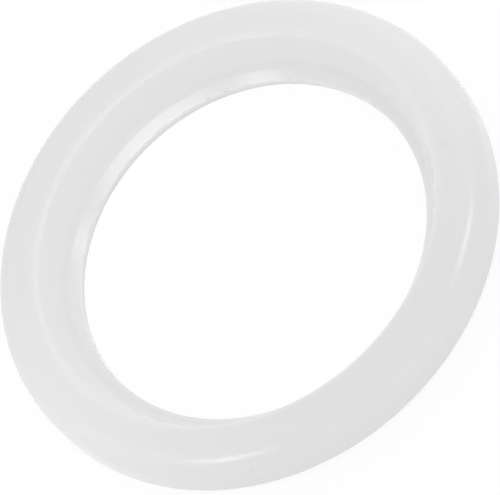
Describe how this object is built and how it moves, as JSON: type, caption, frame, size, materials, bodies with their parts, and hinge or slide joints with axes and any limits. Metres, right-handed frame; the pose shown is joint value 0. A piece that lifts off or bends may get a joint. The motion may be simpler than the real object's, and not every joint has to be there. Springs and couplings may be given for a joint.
{
  "type": "espresso group head gasket",
  "caption": "Moulded silicone ring seal for an espresso group head: flat back, funnel down to a thin bore lip, narrow flat sealing face on top and a large rounded outer shoulder.",
  "frame": {"origin": "middle of the flat back, on the ring's axis, where the ring rests", "axes": "+Z along the ring's axis, from the flat back to the sealing face; the ring is round, so X and Y are free"},
  "size_m": [0.064, 0.064, 0.0066],
  "materials": {
    "silicone_rubber": "satin moulded surface, translucent white"
  },
  "bodies": {
    "root": {"group_gasket": "silicone_rubber"}
  },
  "joints": []
}
